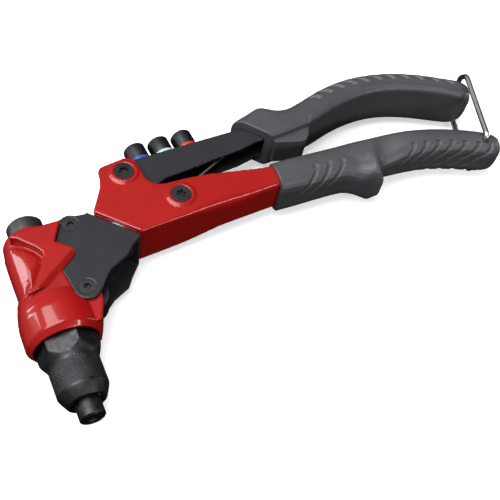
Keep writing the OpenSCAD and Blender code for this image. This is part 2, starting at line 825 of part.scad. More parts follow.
module nose_sleeve() {
    seat = nose_head + ring_t;
    color(oxide) difference() {
        union() {
            turned([[0, sleeve_y], [8.7, sleeve_y], [11.1, 12.2], [sleeve_r, 13],
                [sleeve_r, 27.7], [hex_flat - 0.3, 29], [hex_flat - 0.3, 30], [0, 30]]);
            intersection() {
                turned([[0, 29], [hex_flat - 0.3, 29], [hex_corner, 32.4], [hex_corner, 38.4],
                    [12.9, seat_y - 0.1], [0, seat_y - 0.1]]);
                rotate([0, hex_turn, 0]) rotate([-90, 0, 0]) translate([0, 0, 20])
                    cylinder(r = hex_flat / cos(30), h = 30, $fn = 6);
            }
            barrel_rod(thread_r - run, 35, 50);
        }
        barrel_rod(ring_r + 0.6, 0, seat);
        barrel_rod(tail_r, 0, 20);
        barrel_rod(case_r + 0.3, 17.5, 51);
    }
}

module nosepiece() {
    color(oxide) rotate([-90, 0, 0]) nosepiece_form(mandrel_r);
}

module nosepiece_ring() {
    color(olive) rotate([-90, 0, 0]) ring_form();
}

module end_cap() {
    color(black) turned([
        [cap_hole, slot_y[1] + 0.05], [cap_r, slot_y[1] + 0.05], [cap_r, barrel_len - 1.2],
        [cap_r - 1.2, barrel_len], [cap_r - 2.4, barrel_len], [cap_r - 2.6, barrel_len - 0.4],
        [0, barrel_len - 0.4], [0, cap_inside], [cap_hole, cap_inside]]);
}

module bail() {
    last = len(bail_path) - 1;
    other = [for (i = [last:-1:0]) [bail_path[i][0], bail_path[i][1], -bail_path[i][2]]];
    color(steel) sweep(rounded(concat(bail_path, other), 2.2), bail_r, 12, [1, -0.4, 0]);
}

lower_frame();
swivel_block();
frame_bolts();
bolt_sleeves();
pivot_washers();
spring_spacer();
opening_spring();
lower_grip();
opening_spring_leg();
lever_channel();
roller_pin();
cam_roller();
nosepiece_holder();
upper_grip();
spare_nosepiece_blue();
spare_nosepiece_green();
spare_nosepiece_red();
spare_ring_blue();
spare_ring_green();
spare_ring_red();
plunger();
head_casting();
head_bracket();
bracket_screws();
bracket_sleeves();
lower_spacer();
swivel_spindle();
thrust_washer();
spindle_nut();
nose_sleeve();
nosepiece();
nosepiece_ring();
end_cap();
return_spring();
rocker();
pull_tube();
jaw_case();
jaws();
jaw_pusher();
jaw_spring();
bail();
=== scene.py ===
"""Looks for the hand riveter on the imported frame: +Y up the barrel, +X along the handles, +Z up."""
import json
import math

import bmesh
import bpy
import numpy as np
from mathutils import Matrix, Vector


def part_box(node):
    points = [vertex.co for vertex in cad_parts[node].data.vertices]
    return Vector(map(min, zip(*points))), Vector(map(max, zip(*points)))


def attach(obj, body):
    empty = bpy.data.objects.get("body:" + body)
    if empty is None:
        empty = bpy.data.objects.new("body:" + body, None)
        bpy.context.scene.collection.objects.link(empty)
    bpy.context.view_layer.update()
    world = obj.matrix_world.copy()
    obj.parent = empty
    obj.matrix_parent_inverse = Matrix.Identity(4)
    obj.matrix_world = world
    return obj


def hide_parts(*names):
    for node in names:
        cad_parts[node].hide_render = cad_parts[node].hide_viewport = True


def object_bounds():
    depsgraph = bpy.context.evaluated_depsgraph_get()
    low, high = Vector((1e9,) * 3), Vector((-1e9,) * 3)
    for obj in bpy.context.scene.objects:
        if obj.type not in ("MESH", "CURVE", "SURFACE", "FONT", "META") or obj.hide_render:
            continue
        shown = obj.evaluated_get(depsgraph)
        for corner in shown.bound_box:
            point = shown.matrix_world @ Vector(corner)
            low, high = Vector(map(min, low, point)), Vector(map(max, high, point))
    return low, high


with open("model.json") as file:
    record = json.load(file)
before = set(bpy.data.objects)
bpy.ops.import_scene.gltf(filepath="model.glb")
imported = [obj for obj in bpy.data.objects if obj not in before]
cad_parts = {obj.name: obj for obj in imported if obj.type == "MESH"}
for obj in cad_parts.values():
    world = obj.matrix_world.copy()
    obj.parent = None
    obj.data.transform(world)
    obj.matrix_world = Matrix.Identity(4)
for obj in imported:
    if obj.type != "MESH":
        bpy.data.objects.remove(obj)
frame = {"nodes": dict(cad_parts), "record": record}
CAD_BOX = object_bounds()
NODES = frame["nodes"]
RECORD = frame["record"]
BODY = {node: body for body, nodes in RECORD["behaviour"]["bodies"].items() for node in nodes}
SLOT = {entry["node"]: entry["material_slot"] for entry in RECORD["subparts"]}
JOINT = {joint["name"]: joint for joint in RECORD["behaviour"]["joints"]}
MM = 0.001

# Sizes and places below are in millimetres. These are the ones that the frame doesn't give.

# The raised cross on each side of the casting: its top, its lowest place up the barrel, and its left edge
CROSS_TOP = 15.0
CROSS_FOOT = 57.9
CROSS_LEFT = [(-9.9, 58.8), (-5.5, 62.2), (0.1, 70.8), (1.9, 73.8), (2.1, 76.7), (-0.2, 80.5), (-3.5, 84),
              (-9.6, 88.8)]
# The edge of the cross that slopes down to the plate, and how wide the slope is
CROSS_EDGE = [(15.3, 72.2), (-1.0, 60.0)]
CROSS_SLOPE = 2.0
PLATE_TOP = 12.6
# The hollow in the barrel beside the cross
HOLLOW_DEPTH = 1.6
HOLLOW_WIDTH = 2.6
# Heights up the barrel and the radius it is given there, on the side away from the handles
BARREL_OUTLINE = [(48, 17.4), (52, 17.0), (56, 16.2), (60, 15.1), (60.7, 14.9), (61.5, 13.7), (66, 13.6),
                  (80, 13.75), (86, 13.65)]

# Both grips: half of their width, and the grooves' cross-section
GRIP_HALF = 12.5
GROOVE_WIDTH = 0.7
GROOVE_DEPTH = 1.5
GROOVE_LEAD = 1.2
# The lower grip's corner radius, and how thick the layer is that is shaped
LOWER_CORNER = 8.0
LOWER_SKIN = 3.2
# The finger guard: its tip and its end along X, the height that its tip is below, and a place on its crest
GUARD_TIP = 176.0
GUARD_END = 182.0
GUARD_LOW = 74.5
GUARD_CREST = (178.5, 80.0)
# Slanted grooves: each group's first place along X, its pitch, how many, and their start below the middle
SLANTED_GROUPS = [(146.1, 7.85, 3, 2.4), (205.9, 7.3, 7, 4.2)]
NEAR_REACH = 19.0
FAR_REACH = 6.0
# The upper grip's hooked grooves, over the corner of its back
UPPER_CORNER = 7.5
HOOK_START = 170.6
HOOK_PITCH = 8.13
HOOK_COUNT = 11
HOOK_REACH = 99.0

# The nose sleeve: its radii, the height where its hollow ends, its thread, knurl and hexagon
SLEEVE_R = 11.5
SHOULDER_R = 14.6
THREAD_R = 11.2
RIM_R = 8.7
RIM_HOLE_R = 7.2
MOUTH_R = 6.6
INNER_R = 8.3
TAIL_R = 4.0
HOLLOW_END = 17.5
THREAD_LEN = 9.0
KNURL = (13.4, 25.4)
KNURL_DEPTH = 0.3
KNURL_COUNT = 54
KNURL_PITCH = 1.32
HEX_HALF = 12.3
HEX_TURN = math.radians(-12)

BAIL_RADIUS = 1.5
SPRING_RADIUS = 0.75
COIL_RADIUS = 6.2
COIL_PITCH = 1.6
COIL_TURNS = 3

# ---------------------------------------------------------------- materials


class Shader:
    """A small helper around one material's node tree."""

    def __init__(self, name):
        self.material = bpy.data.materials.new(name)
        self.material.use_nodes = True
        self.tree = self.material.node_tree
        self.main = self.tree.nodes["Principled BSDF"]
        coords = self.tree.nodes.new("ShaderNodeTexCoord")
        self.place = coords.outputs["Object"]

    def set(self, **values):
        for key, value in values.items():
            self.main.inputs[key.replace("_", " ")].default_value = value

    def link(self, a, b):
        self.tree.links.new(a, b)

    def stretched(self, scale):
        """The object's coordinates, scaled along each axis."""
        mapping = self.tree.nodes.new("ShaderNodeMapping")
        mapping.inputs["Scale"].default_value = scale
        self.link(self.place, mapping.inputs["Vector"])
        return mapping.outputs["Vector"]

    def noise(self, scale, detail, place=None):
        node = self.tree.nodes.new("ShaderNodeTexNoise")
        node.inputs["Scale"].default_value = scale
        node.inputs["Detail"].default_value = detail
        self.link(place or self.place, node.inputs["Vector"])
        return node.outputs["Fac"]

    def ramp(self, source, low, high):
        """A ramp from colour low to colour high."""
        node = self.tree.nodes.new("ShaderNodeValToRGB")
        ends = node.color_ramp.elements
        ends[0].position, ends[1].position = 0.35, 0.65
        ends[0].color, ends[1].color = (*low, 1), (*high, 1)
        self.link(source, node.inputs["Fac"])
        return node.outputs["Color"]

    def spread(self, source, low, high, into):
        """The source, mapped to a range, as a value of the main shader."""
        node = self.tree.nodes.new("ShaderNodeMapRange")
        node.inputs["From Min"].default_value = 0.3
        node.inputs["From Max"].default_value = 0.7
        node.inputs["To Min"].default_value = low
        node.inputs["To Max"].default_value = high
        self.link(source, node.inputs["Value"])
        self.link(node.outputs["Result"], self.main.inputs[into])

    def bump(self, source, height):
        """Adds a bump of that height in metres, on top of any bump before it."""
        node = self.tree.nodes.new("ShaderNodeBump")
        node.inputs["Distance"].default_value = height
        node.inputs["Strength"].default_value = 1.0
        self.link(source, node.inputs["Height"])
        before = self.main.inputs["Normal"].links
        if before:
            self.link(before[0].from_socket, node.inputs["Normal"])
        self.link(node.outputs["Normal"], self.main.inputs["Normal"])


def shade(colour, factor):
    """The colour, lighter or darker by a factor."""
    return tuple(min(1.0, c * factor) for c in colour)


def paint(name, colour, rough, coat, peel):
    """Sprayed enamel or powder coat: a faint drift of colour and an orange-peel surface."""
    s = Shader(name)
    s.set(Coat_Weight=coat, Coat_Roughness=0.08, Specular_IOR_Level=0.15)
    s.link(s.ramp(s.noise(90, 4), shade(colour, 0.93), shade(colour, 1.05)), s.main.inputs["Base Color"])
    s.spread(s.noise(260, 3), rough * 0.85, rough * 1.15, "Roughness")
    s.bump(s.noise(700, 2), peel)
    return s.material


def rubber(name, colour, rough):
    """Moulded grip rubber: fine grain, slight bloom and patchy sheen."""
    s = Shader(name)
    s.set(Specular_IOR_Level=0.45)
    s.link(s.ramp(s.noise(45, 5), shade(colour, 0.9), shade(colour, 1.1)), s.main.inputs["Base Color"])
    s.spread(s.noise(160, 4), rough * 0.9, rough * 1.1, "Roughness")
    s.bump(s.noise(3500, 2), 0.00002)
    s.bump(s.noise(400, 3), 0.00002)
    return s.material


def metal(name, colour, rough, streak=(1, 1, 1), vary=0.12):
    """Machined or oxidised steel: tool streaks along one axis and blotches of finish."""
    s = Shader(name)
    s.set(Metallic=1.0)
    tint = s.ramp(s.noise(120, 5), shade(colour, 1 - vary), shade(colour, 1 + vary))
    s.link(tint, s.main.inputs["Base Color"])
    s.spread(s.noise(500, 4, place=s.stretched(streak)), rough * 0.8, rough * 1.25, "Roughness")
    s.bump(s.noise(2500, 2, place=s.stretched(streak)), 0.000008)
    return s.material


def plastic(name, colour, rough):
    """Moulded plastic with a fine texture."""
    s = Shader(name)
    s.link(s.ramp(s.noise(110, 4), shade(colour, 0.92), shade(colour, 1.08)), s.main.inputs["Base Color"])
    s.spread(s.noise(300, 3), rough * 0.88, rough * 1.12, "Roughness")
    s.bump(s.noise(2200, 2), 0.00001)
    return s.material


SLOTS = {
    "red_paint": paint("gloss_red_enamel", (0.29, 0.005, 0.004), 0.3, 0.6, 0.000002),
    "black_paint": paint("satin_black_coat", (0.022, 0.022, 0.026), 0.36, 0.25, 0.00002),
    "black_oxide": metal("black_oxide_steel", (0.044, 0.044, 0.047), 0.46, vary=0.2),
    "bright_steel": metal("machined_steel", (0.56, 0.56, 0.58), 0.3, streak=(1, 1, 6)),
    "spring_steel": metal("bright_wire", (0.72, 0.72, 0.74), 0.22, vary=0.08),
    "grip_rubber": rubber("grip_rubber", (0.056, 0.056, 0.062), 0.46),
    "black_plastic": plastic("black_moulding", (0.018, 0.018, 0.02), 0.45),
    "ring_blue": plastic("blue_ring", (0.03, 0.09, 0.42), 0.3),
    "ring_green": plastic("pale_green_ring", (0.42, 0.62, 0.54), 0.3),
    "ring_red": plastic("red_ring", (0.5, 0.03, 0.03), 0.3),
    "ring_olive": plastic("olive_ring", (0.42, 0.4, 0.1), 0.3),
}


def dress(obj, slot):
    """Gives the object the material of that slot, and no other."""
    obj.data.materials.clear()
    obj.data.materials.append(SLOTS[slot])


for node, slot in SLOT.items():
    dress(NODES[node], slot)

# ---------------------------------------------------------------- mesh helpers


def box_mm(node):
    """The lowest and highest corner of a CAD node, in millimetres."""
    low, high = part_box(node)
    return np.array(low) / MM, np.array(high) / MM


def add_object(name, mesh):
    """A new, smoothly shaded object in the scene."""
    obj = bpy.data.objects.new(name, mesh)
    bpy.context.scene.collection.objects.link(obj)
    for face in mesh.polygons:
        face.use_smooth = True
    return obj


def add_mesh(name, points, faces):
    """A new object from points in millimetres."""
    mesh = bpy.data.meshes.new(name)
    mesh.from_pydata([tuple(p) for p in np.asarray(points) * MM], [], faces)
    mesh.update()
    return add_object(name, mesh)


def stand_for(obj, node):
    """The object takes the place of that CAD node, with its body and material slot."""
    dress(obj, SLOT[node])
    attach(obj, BODY[node])
    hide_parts(node)


def copy_of(node, name):
    """A welded copy of a CAD node's mesh."""
    mesh = NODES[node].data.copy()
    mesh.transform(NODES[node].matrix_world)
    mesh.materials.clear()
    grid = bmesh.new()
    grid.from_mesh(mesh)
    bmesh.ops.remove_doubles(grid, verts=grid.verts, dist=0.002 * MM)
    grid.to_mesh(mesh)
    grid.free()
    return add_object(name, mesh)


def bake(obj):
    """Makes the object's modifiers part of its mesh."""
    view = bpy.context.evaluated_depsgraph_get()
    mesh = bpy.data.meshes.new_from_object(obj.evaluated_get(view), depsgraph=view)
    obj.modifiers.clear()
    obj.data = mesh
    return obj


def rounded_copy(node, voxel, passes):
    """A copy of a CAD node with every edge rounded, on an even grid of that many millimetres."""
    obj = copy_of(node, node + "_form")
    remesh = obj.modifiers.new("grid", "REMESH")
    remesh.mode = "VOXEL"
    remesh.voxel_size = voxel * MM
    remesh.use_smooth_shade = True
    soften = obj.modifiers.new("soften", "SMOOTH")
    soften.factor = 0.5
    soften.iterations = passes
    return bake(obj)


def points_of(obj):
    """The object's points in millimetres, and its normals."""
    count = len(obj.data.vertices)
    points = np.empty(3 * count)
    normals = np.empty(3 * count)
    obj.data.vertices.foreach_get("co", points)
    obj.data.vertices.foreach_get("normal", normals)
    return points.reshape(-1, 3) / MM, normals.reshape(-1, 3)


def move_points(obj, points):
    """Gives the object's points new places, in millimetres."""
    obj.data.vertices.foreach_set("co", (points * MM).ravel())
    obj.data.update()


def crisp(node, width):
    """Bevels the sharp edges of a CAD node with modifiers, and leaves its mesh alone."""
    obj = NODES[node]
    weld = obj.modifiers.new("weld", "WELD")
    weld.merge_threshold = 0.002 * MM
    flat = obj.modifiers.new("flat", "DECIMATE")
    flat.decimate_type = "DISSOLVE"
    flat.angle_limit = math.radians(0.6)
    edge = obj.modifiers.new("edge", "BEVEL")
    edge.width = width * MM
    edge.segments = 3
    edge.limit_method = "ANGLE"
    edge.angle_limit = math.radians(35)
    edge.harden_normals = True


def fillet(points, radius, steps=4):
    """An outline with every corner rounded but its two ends."""
    points = [np.array(p, float) for p in points]
    out = [points[0]]
    for before, here, after in zip(points, points[1:], points[2:]):
        a, b = before - here, after - here
        reach = min(radius, 0.45 * np.linalg.norm(a), 0.45 * np.linalg.norm(b))
        a, b = here + a / np.linalg.norm(a) * reach, here + b / np.linalg.norm(b) * reach
        for k in range(steps + 1):
            u = k / steps
            out.append((1 - u) ** 2 * a + 2 * u * (1 - u) * here + u * u * b)
    return out + [points[-1]]


def around(name, rows, closed=True):
    """A surface through rings of points: every row has the same number of points."""
    rows = np.asarray(rows)
    count, sides = rows.shape[:2]
    faces = []
    for j in range(count if closed else count - 1):
        for i in range(sides):
            a, b = j * sides, ((j + 1) % count) * sides
            faces.append((a + i, a + (i + 1) % sides, b + (i + 1) % sides, b + i))
    return add_mesh(name, rows.reshape(-1, 3), faces)


def turned(name, outline, origin, axis):
    """A closed outline of (radius, distance along the axis) turned about the axis."""
    axis = Vector(axis).normalized()
    across = axis.orthogonal().normalized()
    up = axis.cross(across)
    turn = np.linspace(0, 2 * math.pi, 96, endpoint=False)
    ring = np.outer(np.cos(turn), across) + np.outer(np.sin(turn), up)
    rows = [np.array(origin) + d * np.array(axis) + r * ring for r, d in outline]
    return around(name, rows)


def smooth_path(points, step):
    """A Catmull-Rom curve through the points, with a point about every step."""
    points = np.array([points[0]] + list(points) + [points[-1]], float)
    out = []
    for a, b, c, d in zip(points, points[1:], points[2:], points[3:]):
        count = max(2, int(np.linalg.norm(c - b) / step))
        for k in range(count):
            u = k / count
            out.append(0.5 * (2 * b + (c - a) * u + (2 * a - 5 * b + 4 * c - d) * u * u
                              + (3 * b - a - 3 * c + d) * u ** 3))
    return np.array(out + [points[-1]])


def wire(name, path, radius, sides):
    """A round wire along a path, with domed ends that reach to the ends of the path."""
    along = np.gradient(path, axis=0)
    along /= np.linalg.norm(along, axis=1)[:, None]
    across = np.array(Vector(along[0]).orthogonal().normalized())
    turn = np.linspace(0, 2 * math.pi, sides, endpoint=False)
    last = len(path) - 1
    inset = {0: radius, last: -radius}
    dome = [(0.45, 0.89), (0.8, 0.6), (0.97, 0.25)]
    # each ring's place on the path, how far it is ahead of that place and its size, in radii
    stops = [(0, -ahead, size) for ahead, size in reversed(dome)]
    stops += [(i, 0, 1) for i in range(len(path))]
    stops += [(last, ahead, size) for ahead, size in dome]
    rows = []
    for i, ahead, size in stops:
        across = across - along[i] * (across @ along[i])
        across /= np.linalg.norm(across)
        up = np.cross(along[i], across)
        ring = np.outer(np.cos(turn), across) + np.outer(np.sin(turn), up)
        middle = path[i] + along[i] * (ahead * radius + inset.get(i, 0))
        rows.append(middle + ring * radius * size)
    obj = around(name, rows, closed=False)
    grid = bmesh.new()
    grid.from_mesh(obj.data)
    bmesh.ops.holes_fill(grid, edges=grid.edges)
    bmesh.ops.recalc_face_normals(grid, faces=grid.faces)
    grid.to_mesh(obj.data)
    grid.free()
    return obj


def step_up(value, low, high):
    """Rises smoothly from 0 to 1 between low and high."""
    u = np.clip((value - low) / (high - low), 0, 1)
    return u * u * (3 - 2 * u)


# ---------------------------------------------------------------- painted and pressed parts


def line_distance(points, line):
    """Distance from each point to a bent line."""
    out = np.full(len(points), 1e9)
    line = np.array(line)
    for a, b in zip(line, line[1:]):
        u = np.clip(((points - a) @ (b - a)) / ((b - a) @ (b - a)), 0, 1)
        out = np.minimum(out, np.linalg.norm(points - a - u[:, None] * (b - a), axis=1))
    return out


def left_of(points, line):
    """True where a point has less X than a line that is sorted by rising Y."""
    line = np.array(line)
    return points[:, 0] < np.interp(points[:, 1], line[:, 1], line[:, 0])


def outer_radius(points, heights):
    """The radius of the barrel at each height, on the side away from the handles."""
    side = points[(points[:, 0] < 0) & (np.abs(points[:, 2]) < 5)]
    return [-side[np.abs(side[:, 1] - h) < 0.4, 0].min() for h in heights]


def slope_cross(points):
    """Cuts the edge of the cross back to a slope where the plate runs into it."""
    start, end = np.array(CROSS_EDGE)
    along = (end - start) / np.linalg.norm(end - start)
    inside = (points[:, :2] - start) @ np.array([along[1], -along[0]])
    limit = CROSS_TOP - np.clip(CROSS_SLOPE - np.abs(inside), 0, None)
    side = np.abs(points[:, 2])
    tall = (side > PLATE_TOP) & (points[:, 1] > CROSS_FOOT) & (side > limit)
    points[tall, 2] = np.sign(points[tall, 2]) * limit[tall]


def hollow_barrel(points):
    """Presses a hollow into the barrel along the left side of the cross, below the cross itself."""
    side = np.abs(points[:, 2])
    hollow = np.exp(-(line_distance(points[:, :2], CROSS_LEFT) / HOLLOW_WIDTH) ** 2)
    hollow *= step_up(side, 8.5, 11.5) * (1 - step_up(side, 13.1, 13.5))
    hollow *= left_of(points[:, :2], CROSS_LEFT) * step_up(points[:, 1], 57, 60)
    points[:, 2] -= np.sign(points[:, 2]) * HOLLOW_DEPTH * hollow


def slim_barrel(points):
    """Narrows the collar up to a sharp step below a slimmer barrel, on the side away from the handles."""
    size = np.hypot(points[:, 0], points[:, 2])
    height, wanted = np.array(BARREL_OUTLINE).T
    low, high = height[0], height[-1]
    spots = np.arange(low, high + 1)
    was = np.interp(points[:, 1], spots, outer_radius(points, spots))
    gain = np.interp(points[:, 1], height, wanted) / was - 1
    gain *= step_up(points[:, 1], low - 1, low) * (1 - step_up(points[:, 1], high, high + 1))
    gain *= step_up(size - was, -1.6, -0.4) * (1 - step_up(size - was, 0.5, 1.3))
    gain *= step_up(-points[:, 0], 5, 9.5)
    points[:, [0, 2]] *= (1 + gain)[:, None]


def add_casting():
    """The head casting, with a sloped cross that stands out of a hollow, and a collar with a step."""
    obj = rounded_copy("head_casting", 0.42, 3)
    points, _ = points_of(obj)
    slope_cross(points)
    hollow_barrel(points)
    slim_barrel(points)
    move_points(obj, points)
    stand_for(obj, "head_casting")


def add_pressed_parts():
    """The parts bent from sheet or cut from bar, with every edge rounded."""
    # the grid of each one in millimetres, and how often it is softened
    finish = {"lower_frame": (0.5, 3), "head_bracket": (0.34, 1), "lever_channel": (0.42, 2),
              "swivel_block": (0.5, 2)}
    for node, (voxel, passes) in finish.items():
        stand_for(rounded_copy(node, voxel, passes), node)


# ---------------------------------------------------------------- grips


def spine(points):
    """Places along X with the top and the bottom of a long piece there."""
    step = 2.0
    spots = np.arange(points[:, 0].min() + step, points[:, 0].max() - step, step)
    top, bottom = [], []
    for x in spots:
        there = points[np.abs(points[:, 0] - x) < step, 1]
        top.append(there.max())
        bottom.append(there.min())
    return spots, np.array(top), np.array(bottom)


def girth(down, side, start, half, corner):
    """Distance round a rounded section: down the side from start, then over the corner and across.
    down is the distance from the middle towards the edge that is turned round, side the place across."""
    flat = half - corner
    knee = GRIP_HALF - corner
    turn = np.arctan2(np.maximum(down - flat, 1e-6), side - knee)
    arc = flat - start + corner * np.clip(turn, 0, math.pi / 2)
    beyond = flat - start + corner * math.pi / 2 + (knee - side)
    far = (flat - start + corner * math.pi / 2 + 2 * knee
           + corner * np.clip(turn - math.pi / 2, 0, math.pi / 2))
    out = np.where(down < flat, down - start, arc)
    out = np.where((down >= flat) & (side < knee), beyond, out)
    return np.where((down >= flat) & (side < -knee), far, out)


def cut_groove(along, round_by, first, swing, stop):
    """How deep a point lies in one groove. swing gives the groove's drift back at each girth."""
    back = swing(np.maximum(round_by, 0))
    slope = (swing(np.maximum(round_by, 0) + 0.05) - back) / 0.05
    off = np.abs(along - first + back) / np.sqrt(1 + slope ** 2)
    ends = step_up(round_by, -GROOVE_LEAD, GROOVE_LEAD * 0.4) * (1 - step_up(round_by, stop - 4, stop))
    dot = np.exp(-((along - first) ** 2 + (round_by - 0.2) ** 2) / 0.9)
    return GROOVE_DEPTH * np.maximum(np.exp(-(off / GROOVE_WIDTH) ** 2) * ends, 0.9 * dot)


def slanted(girth_there):
    """How far a groove of the lower grip has drifted back at a girth."""
    return 0.96 * girth_there ** 2 / (girth_there + 5)


def hooked(girth_there):
    """How far a groove of the upper grip has drifted back at a girth."""
    return np.minimum(2.8 * (girth_there / 4) ** 1.4, 14)


def draw_back_guard(x, y):
    """How far each point moves back along the grip, so that the guard's tip hangs straight down."""
    before = np.exp(-((x - GUARD_TIP) / 9) ** 2)
    after = np.clip((GUARD_END - x) / (GUARD_END - GUARD_TIP), 0, 1)
    return 3.8 * step_up(GUARD_LOW - y, 0, 3.5) * np.where(x < GUARD_TIP, before, after)


def guard_width(x, y, down):
    """How much wider the grip is at the guard: a crest, with a scoop before it and a waist behind it."""
    lean = x - GUARD_CREST[0] - (y - GUARD_CREST[1]) * 0.26
    flare = 1.5 * np.exp(-(lean / 2.6) ** 2) * step_up(down, -5, 4)
    scoop = -1.5 * np.exp(-((lean + 9) / 6) ** 2) * step_up(down, -3, 3)
    waist = -3.2 * np.exp(-((lean - 8) / np.where(lean < 8, 4.6, 11)) ** 2) * step_up(down, -7, 1)
    return flare + scoop + waist


def add_lower_grip():
    """The lower grip, with a finger guard and grooves that run from beside its middle back under it."""
    obj = rounded_copy("lower_grip", 0.38, 4)
    points, normals = points_of(obj)
    spots, top, bottom = spine(points)
    x, y, z = points.T
    middle = np.interp(x, spots, (top + bottom) / 2)
    half = np.interp(x, spots, (top - bottom) / 2)
    down = middle - y
    skin = (np.abs(z) > GRIP_HALF - LOWER_SKIN) | (np.abs(down) > half - LOWER_SKIN)
    x = x + draw_back_guard(x, y)
    cut = np.zeros(len(x))
    for first, pitch, count, start in SLANTED_GROUPS:
        near = girth(down, z, start, half, LOWER_CORNER)
        far = girth(down, -z, start, half, LOWER_CORNER)
        for k in range(count):
            cut = np.maximum(cut, cut_groove(x, near, first + k * pitch, slanted, NEAR_REACH))
            cut = np.maximum(cut, cut_groove(x, far, first + k * pitch, slanted, FAR_REACH))
    cut *= skin * step_up(np.abs(z) + half - np.abs(down), 0, 6)
    wider = skin * guard_width(x, y, down) * np.sign(z) * np.clip(np.abs(z) / GRIP_HALF, 0, 1)
    move_points(obj, np.stack([x, y, z + wider], 1) - normals * cut[:, None])
    stand_for(obj, "lower_grip")


def add_upper_grip():
    """The upper grip, with hooked grooves over its back's edges and a soft rib along its lower edges."""
    obj = rounded_copy("upper_grip", 0.38, 4)
    points, normals = points_of(obj)
    spots, top, bottom = spine(points)
    x, y, z = points.T
    side = np.abs(z)
    down = np.interp(x, spots, top) - y
    skin = (side > 8.4) | (down < 2.4)
    # distance up from a line along the side of the back, over the corner to the middle of the back
    knee = GRIP_HALF - UPPER_CORNER
    turn = np.arctan2(UPPER_CORNER - down, side - knee)
    rise = UPPER_CORNER * np.clip(turn, -0.4, math.pi / 2) + 1 + np.clip(knee - side, 0, None)
    cut = np.zeros(len(x))
    for k in range(HOOK_COUNT):
        cut = np.maximum(cut, cut_groove(x, rise, HOOK_START + k * HOOK_PITCH, hooked, HOOK_REACH))
    cut *= skin & (down < UPPER_CORNER + 3)
    edge = y - np.interp(x, spots, bottom)
    rib = 0.45 * np.exp(-((edge - 3.4) / 1.5) ** 2) * step_up(x, 150, 160) * skin
    move_points(obj, points - normals * (cut - rib)[:, None])
    stand_for(obj, "upper_grip")


# ---------------------------------------------------------------- nose


def knurl_depth(turn, y):
    """Depth from 0 to 1 of a diamond knurl: two sets of crossing grooves that fade at both ends."""
    one = np.abs((KNURL_COUNT * turn / (2 * math.pi) + y / KNURL_PITCH) % 1 - 0.5) * 2
    two = np.abs((KNURL_COUNT * turn / (2 * math.pi) - y / KNURL_PITCH) % 1 - 0.5) * 2
    fade = step_up(y, KNURL[0], KNURL[0] + 0.5) * (1 - step_up(y, KNURL[1] - 0.5, KNURL[1]))
    return step_up(np.maximum(one, two), 0.35, 1.0) * fade


def add_sleeve():
    """The nose sleeve: a knurled grip with a taper in front of it and a hexagon behind it."""
    low, high = box_mm("nose_sleeve")
    front, back = low[1], high[1]
    seat = box_mm("nosepiece_ring")[1][1]
    turn = np.linspace(0, 2 * math.pi, 432, endpoint=False)
    # radius and height of each ring, and whether it is plain, knurled or cut by the hexagon
    taper = [(MOUTH_R, seat), (MOUTH_R, front + 0.8), (RIM_HOLE_R, front + 0.8), (RIM_HOLE_R, front),
             (RIM_R, front), (11.1, 12.2), (SLEEVE_R, KNURL[0])]
    rows = [(r, y, "plain") for r, y in fillet(taper, 0.45)]
    rows += [(SLEEVE_R, y, "knurled") for y in np.arange(KNURL[0] + 0.2, KNURL[1], 0.2)]
    rows += [(SLEEVE_R + (SHOULDER_R - SLEEVE_R) * step_up(y, 25.6, 33.4) ** 0.9, y, "hexagon")
             for y in np.arange(25.6, 33.5, 0.4)]
    rows += [(SHOULDER_R, y, "hexagon") for y in (34, 35, 36, 37.2, 38.4)]
    thread = back - THREAD_LEN
    rear = [(13.8, 39.6), (12.9, thread - 0.1), (THREAD_R, thread), (THREAD_R, back), (INNER_R, back),
            (INNER_R, HOLLOW_END), (TAIL_R, HOLLOW_END), (TAIL_R, seat)]
    rows += [(r, y, "plain") for r, y in rear]
    sixth = math.radians(60)
    flat = HEX_HALF / np.cos((turn - HEX_TURN - sixth / 2) % sixth - sixth / 2)
    rings = []
    for r, y, kind in rows:
        size = np.full(len(turn), float(r))
        if kind == "knurled":
            size -= KNURL_DEPTH * knurl_depth(turn, y)
        if kind == "hexagon":
            size = np.minimum(size, flat) - 0.08 * np.exp(-((size - flat) / 0.25) ** 2)
        rings.append(np.stack([size * np.sin(turn), np.full(len(turn), y), size * np.cos(turn)], 1))
    stand_for(around("sleeve_form", rings), "nose_sleeve")


def add_nosepiece(node, ring, origin, axis, hole):
    """A nosepiece from its mouth to the end of its tail, with a wide mouth and a groove in its face."""
    low, high = box_mm("nosepiece")
    head = box_mm("nosepiece_ring")[0][1]
    tail = high[1] - low[1]
    radius = high[0]
    outline = [(hole, 4.6), (hole + 0.7, 4), (hole + 0.75, 0.4), (hole + 1.15, 0)]
    outline += [(4.2, 0), (4.35, 0.25), (4.7, 0.25), (4.85, 0)]
    outline += [(radius - 0.5, 0), (radius, 0.5), (radius, head), (TAIL_R, head)]
    outline += [(TAIL_R, tail - 1), (TAIL_R - 1, tail), (hole, tail), (hole, 4.6)]
    stand_for(turned(node + "_form", fillet(outline, 0.12, 2)[:-1], origin, axis), node)
    crisp(ring, 0.25)


def add_nosepieces():
    """The nosepiece in use, and the three spares that stand mouth up on the lever's back."""
    add_nosepiece("nosepiece", "nosepiece_ring", (0, 0, 0), (0, 1, 0), 1.55)
    middles = {c: sum(box_mm("spare_ring_" + c)) / 2 for c in ("blue", "green", "red")}
    along = Vector(middles["red"] - middles["blue"]).normalized()
    upward = Vector((-along.y, along.x, 0))
    ring = box_mm("nosepiece_ring")
    rise = (ring[0][1] + ring[1][1]) / 2
    for colour, hole in (("blue", 1.35), ("green", 1.1), ("red", 0.9)):
        mouth = middles[colour] + np.array(upward) * rise
        add_nosepiece("spare_nosepiece_" + colour, "spare_ring_" + colour, mouth, -upward, hole)


# ---------------------------------------------------------------- wires


